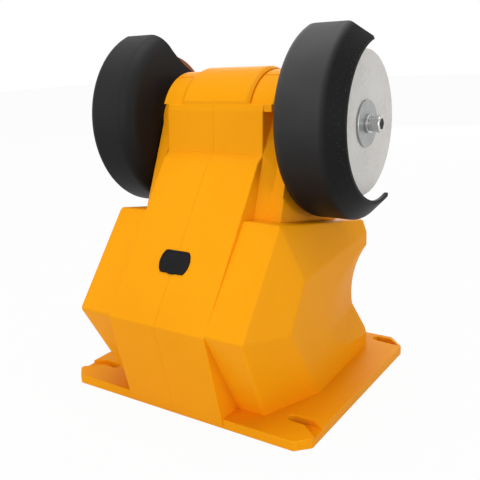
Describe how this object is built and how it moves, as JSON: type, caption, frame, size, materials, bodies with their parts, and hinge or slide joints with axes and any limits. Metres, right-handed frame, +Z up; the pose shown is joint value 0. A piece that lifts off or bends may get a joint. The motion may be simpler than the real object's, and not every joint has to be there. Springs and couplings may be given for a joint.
{
  "type": "mini bench grinder",
  "caption": "Tabletop bench grinder: guarded felt and abrasive wheels on one motor spindle above a faceted, bolt-down plastic pedestal.",
  "frame": {"origin": "middle of the base plate's underside", "axes": "+Z up; -Y is the front, where the guards are open towards the user; +X is the user's right, the abrasive wheel's side"},
  "size_m": [0.17, 0.1491, 0.2003],
  "materials": {
    "housing": "satin moulded ABS, yellow-orange",
    "guard": "satin black moulded plastic",
    "screw": "black-zinc steel",
    "zinc": "bright zinc-plated steel",
    "steel": "ground steel",
    "magnet": "ferrite",
    "lamination": "stacked sheet steel",
    "copper": "enamelled copper wire",
    "brass": "sheet brass",
    "carbon": "carbon",
    "aluminium": "turned",
    "felt": "pressed felt",
    "stone": "bonded abrasive grain",
    "cell": "shrink-wrapped cells",
    "black_plastic": "moulded",
    "nickel": "nickel strip",
    "board": "glass-fibre board with solder mask",
    "rubber": "soft black rubber",
    "button": "moulded red",
    "wire": "insulated stranded wire"
  },
  "bodies": {
    "base": {"housing_left": "housing", "housing_right": "housing", "housing_screws": "screw", "guard_left": "guard", "guard_right": "guard", "guard_screws": "screw", "motor_can": "steel", "end_bell_left": "aluminium", "end_bell_right": "aluminium", "magnets": "magnet", "bearings": "steel", "brush_holders": "brass", "brushes": "carbon", "battery_cells": "cell", "battery_tray": "black_plastic", "battery_cap": "black_plastic", "cell_links": "nickel", "control_board": "board", "board_screws": "screw", "charge_socket": "steel", "switch_body": "black_plastic", "switch_nut": "black_plastic", "wires": "wire"},
    "spindle": {"shaft": "steel", "rotor_core": "lamination", "windings": "copper", "commutator": "copper", "arbor_left": "aluminium", "arbor_right": "aluminium", "felt_wheel": "felt", "stone_wheel": "stone", "clamp_washers": "zinc", "spring_washers": "zinc", "clamp_screws": "zinc"},
    "cover": {"port_cover": "rubber"},
    "button": {"power_button": "button"}
  },
  "joints": [
    {"name": "spindle_spin", "type": "hinge", "parent": "base", "child": "spindle", "pos_m": [0, -0.0098, 0.1495], "axis": [1, 0, 0], "continuous": true},
    {"name": "cover_hinge", "type": "hinge", "parent": "base", "child": "cover", "pos_m": [0, 0.05668, 0.08969], "axis": [1, 0, 0], "range_deg": [0, 110]},
    {"name": "button_press", "type": "slide", "parent": "base", "child": "button", "axis": [0, 1, 0], "range_m": [0, 0.0015], "stiffness_N_per_m": 400, "springref_m": -0.001}
  ]
}
